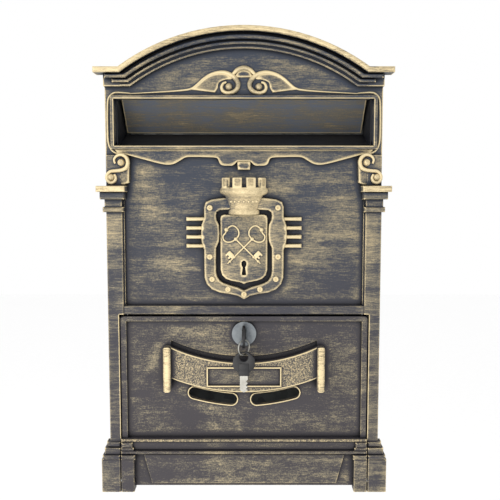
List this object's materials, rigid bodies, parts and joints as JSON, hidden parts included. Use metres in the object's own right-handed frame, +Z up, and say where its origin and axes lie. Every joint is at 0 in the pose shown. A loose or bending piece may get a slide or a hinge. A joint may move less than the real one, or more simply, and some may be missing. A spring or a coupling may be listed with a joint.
{
  "type": "wall mounted mailbox",
  "caption": "Arched cast wall mailbox with an upper letter slot and flap, a drop-down lower door, a cam lock and keys on a ring.",
  "frame": {"origin": "centre of the four wall screw holes, on the back face that lies on the wall", "axes": "+X to the right seen from the front, +Y into the wall, +Z up; the front looks along -Y"},
  "size_m": [0.255, 0.0982, 0.4074],
  "materials": {
    "cast_antique": "cast, dark grey-blue base coat dry-brushed with old gold",
    "black_sheet": "satin black paint",
    "zinc_sheet": "galvanised sheet",
    "zinc_hardware": "zinc plated",
    "chromed_lock": "polished nickel-chrome",
    "nickel_key": "nickel plated",
    "black_plastic": "moulded, fine satin"
  },
  "bodies": {
    "housing": {"front_casting": "cast_antique", "crest": "cast_antique", "slot_chute": "black_sheet", "back_plate": "zinc_sheet", "back_plate_screws": "zinc_hardware", "flap_rod": "zinc_hardware", "rod_clips": "zinc_hardware", "hinge_pin_left": "zinc_hardware", "hinge_pin_right": "zinc_hardware"},
    "flap": {"slot_flap": "cast_antique"},
    "door": {"door_casting": "cast_antique", "lock_barrel": "chromed_lock", "lock_washer": "zinc_hardware", "lock_nut": "zinc_hardware"},
    "plug": {"lock_plug": "chromed_lock", "lock_cam": "zinc_hardware", "cam_screw": "zinc_hardware"},
    "key": {"key_blade": "nickel_key", "key_bow": "black_plastic"},
    "ring": {"key_ring": "nickel_key"},
    "spare_key": {"spare_key_blade": "nickel_key", "spare_key_bow": "black_plastic"}
  },
  "joints": [
    {"name": "flap_hinge", "type": "hinge", "parent": "housing", "child": "flap", "pos_m": [0, -0.063, 0.1525], "axis": [1, 0, 0], "range_deg": [0, 38]},
    {"name": "door_hinge", "type": "hinge", "parent": "housing", "child": "door", "pos_m": [0, -0.078, -0.19], "axis": [1, 0, 0], "range_deg": [0, 100]},
    {"name": "lock_turn", "type": "hinge", "parent": "door", "child": "plug", "pos_m": [0, -0.07, -0.0574], "axis": [0, -1, 0], "range_deg": [0, 90]},
    {"name": "key_slide", "type": "slide", "parent": "plug", "child": "key", "axis": [0, -1, 0], "range_m": [0, 0.024]},
    {"name": "ring_swing", "type": "hinge", "parent": "key", "child": "ring", "pos_m": [0, -0.093, -0.0592], "axis": [1, 0, 0], "range_deg": [-12, 12]},
    {"name": "spare_swing", "type": "hinge", "parent": "ring", "child": "spare_key", "pos_m": [0, -0.093, -0.0722], "axis": [0, 1, 0], "range_deg": [-20, 20]}
  ]
}
